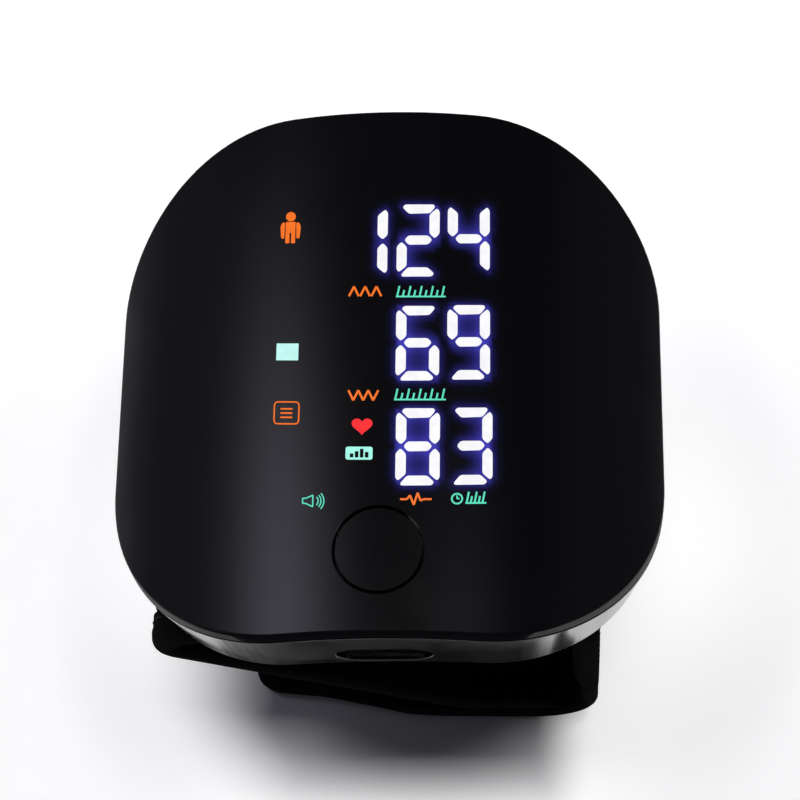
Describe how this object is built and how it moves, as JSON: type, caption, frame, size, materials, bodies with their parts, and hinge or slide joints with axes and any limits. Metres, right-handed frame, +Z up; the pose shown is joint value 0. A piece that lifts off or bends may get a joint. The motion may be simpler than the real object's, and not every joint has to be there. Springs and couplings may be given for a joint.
{
  "type": "wrist blood pressure monitor",
  "caption": "Curved rounded-square wrist blood pressure monitor with a lit number display, a round start button, a charging socket and a soft cuff closed into a loop.",
  "frame": {"origin": "on the table, under the middle of the case", "axes": "+Z up out of the face, +Y away from the start button, +X to the right when the numbers are read"},
  "size_m": [0.068, 0.068, 0.064],
  "materials": {
    "face_black": "satin, slightly smoked",
    "case_black": "polished",
    "inner_black": "fine moulded grain",
    "white_plastic": "moulded, satin",
    "display_film": "frosted film",
    "board_green": "solder mask",
    "chip_black": "moulded epoxy",
    "steel": "plain",
    "copper": "enamelled winding",
    "foil": "laminated foil",
    "foam": "open foam",
    "silicone": "soft, translucent",
    "lead_sleeve": "soft sleeve",
    "cuff_fabric": "fine knit over foam",
    "bladder_film": "welded film"
  },
  "bodies": {
    "body": {"front_panel": "face_black", "front_case": "case_black", "back_cover": "inner_black", "case_screw_1": "steel", "case_screw_2": "steel", "case_screw_3": "steel", "case_screw_4": "steel", "switch_body": "chip_black", "led_reflector": "white_plastic", "led_film": "display_film", "led_row_1": "white_plastic", "led_row_2": "white_plastic", "led_row_3": "white_plastic", "led_icon_column": "white_plastic", "main_board": "board_green", "board_screw_1": "steel", "board_screw_2": "steel", "control_chip": "chip_black", "charge_socket": "steel", "air_manifold": "white_plastic", "pressure_sensor": "chip_black", "air_hose_sensor": "silicone", "pump_head": "chip_black", "pump_diaphragm": "silicone", "pump_chamber": "white_plastic", "pump_motor_can": "steel", "pump_motor_cap": "chip_black", "air_hose_pump": "silicone", "valve_cap": "white_plastic", "valve_cup": "steel", "valve_coil": "copper", "valve_spring": "steel", "air_hose_valve": "silicone", "battery_cell": "foil", "battery_pad": "foam", "speaker_frame": "chip_black", "speaker_cone": "foil", "battery_lead": "lead_sleeve", "pump_lead": "lead_sleeve", "valve_lead": "lead_sleeve", "speaker_lead": "lead_sleeve", "cuff_cover": "cuff_fabric", "cuff_bladder": "bladder_film", "cuff_binding_near": "cuff_fabric", "cuff_binding_far": "cuff_fabric", "cuff_lining": "cuff_fabric", "cuff_loop_patch": "cuff_fabric", "cuff_plate": "inner_black", "cuff_nipple": "white_plastic", "nipple_seal": "silicone"},
    "button": {"start_button": "face_black"},
    "switch_stem": {"switch_stem": "white_plastic"},
    "rotor": {"pump_rotor": "copper"},
    "plunger": {"valve_plunger": "steel"},
    "flap": {"cuff_flap": "cuff_fabric", "cuff_hook_patch": "cuff_fabric"}
  },
  "joints": [
    {"name": "start_button_press", "type": "slide", "parent": "body", "child": "button", "axis": [0, 0, -1], "range_m": [0, 0.0005], "stiffness_N_per_m": 600, "springref_m": -0.0002},
    {"name": "switch_stem_press", "type": "slide", "parent": "body", "child": "switch_stem", "axis": [0, 0, -1], "range_m": [0, 0.0005]},
    {"name": "pump_rotor_spin", "type": "hinge", "parent": "body", "child": "rotor", "pos_m": [0.0235, 0, 0.04833], "axis": [0, 1, 0], "continuous": true},
    {"name": "valve_plunger_pull", "type": "slide", "parent": "body", "child": "plunger", "axis": [0, 1, 0], "range_m": [0, 0.0006], "stiffness_N_per_m": 150, "springref_m": -0.0003},
    {"name": "cuff_flap_open", "type": "hinge", "parent": "body", "child": "flap", "pos_m": [0.0259, 0, 0.014], "axis": [0, -1, 0], "range_deg": [0, 150]}
  ],
  "couplings": [
    {"joint": "switch_stem_press", "follows": "start_button_press", "ratio": 1}
  ]
}
